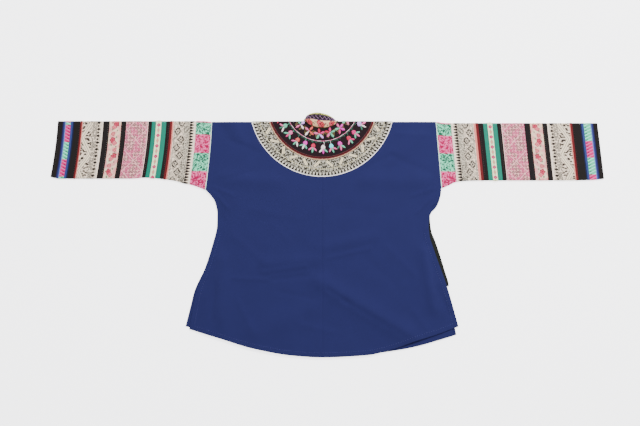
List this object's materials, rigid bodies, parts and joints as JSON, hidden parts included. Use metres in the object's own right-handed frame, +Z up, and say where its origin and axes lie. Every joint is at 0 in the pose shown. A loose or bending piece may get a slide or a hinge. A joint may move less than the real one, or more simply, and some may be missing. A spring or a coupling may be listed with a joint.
{
  "type": "hmong embroidered jacket",
  "caption": "Embroidered jacket laid flat, back up: plain blue body, round batik and embroidered yoke, stand collar and banded patchwork sleeves.",
  "frame": {"origin": "bottom centre of the box of the jacket as it lies on the surface", "axes": "+X towards the sleeve on the wearer's right, +Y from the hem towards the collar, +Z up, out of the jacket's back"},
  "size_m": [1.204, 0.5322, 0.0171],
  "materials": {
    "blue_cotton": "plain-woven cotton, matt",
    "black_cotton": "plain-woven cotton, matt",
    "dark_edging": "plain-woven cotton, matt",
    "piping_red": "folded cotton piping, matt",
    "teal_satin": "satin ribbon, soft sheen",
    "white_ribbon": "woven ribbon, slight sheen",
    "batik_cloth": "wax-resist dyed cotton, matt",
    "batik_pink_cloth": "wax-resist dyed cotton, matt",
    "squares_cloth": "embroidered cotton squares",
    "floral_ribbon": "printed ribbon, slight sheen",
    "woven_ribbon": "jacquard-woven ribbon, slight sheen"
  },
  "bodies": {
    "root": {"body_left": "blue_cotton", "body_right": "blue_cotton", "front_lap": "blue_cotton", "lap_edging": "dark_edging", "yoke_field": "black_cotton", "yoke_piping": "piping_red", "yoke_batik": "batik_cloth", "collar": "black_cotton", "collar_ribbon": "floral_ribbon", "collar_front_left": "black_cotton", "collar_front_right": "black_cotton", "left_sleeve_squares": "squares_cloth", "left_sleeve_batik_upper": "batik_cloth", "left_sleeve_piping_upper": "piping_red", "left_sleeve_black_a": "black_cotton", "left_sleeve_teal": "teal_satin", "left_sleeve_teal_ribbon": "white_ribbon", "left_sleeve_black_b": "black_cotton", "left_sleeve_batik_pink": "batik_pink_cloth", "left_sleeve_black_c": "black_cotton", "left_sleeve_floral": "floral_ribbon", "left_sleeve_black_d": "black_cotton", "left_sleeve_batik_lower": "batik_cloth", "left_sleeve_piping_lower": "piping_red", "left_sleeve_black_e": "black_cotton", "left_sleeve_cuff_ribbon": "woven_ribbon", "left_sleeve_cuff": "black_cotton", "right_sleeve_squares": "squares_cloth", "right_sleeve_batik_upper": "batik_cloth", "right_sleeve_piping_upper": "piping_red", "right_sleeve_black_a": "black_cotton", "right_sleeve_teal": "teal_satin", "right_sleeve_teal_ribbon": "white_ribbon", "right_sleeve_black_b": "black_cotton", "right_sleeve_batik_pink": "batik_pink_cloth", "right_sleeve_black_c": "black_cotton", "right_sleeve_floral": "floral_ribbon", "right_sleeve_black_d": "black_cotton", "right_sleeve_batik_lower": "batik_cloth", "right_sleeve_piping_lower": "piping_red", "right_sleeve_black_e": "black_cotton", "right_sleeve_cuff_ribbon": "woven_ribbon", "right_sleeve_cuff": "black_cotton"}
  },
  "joints": []
}
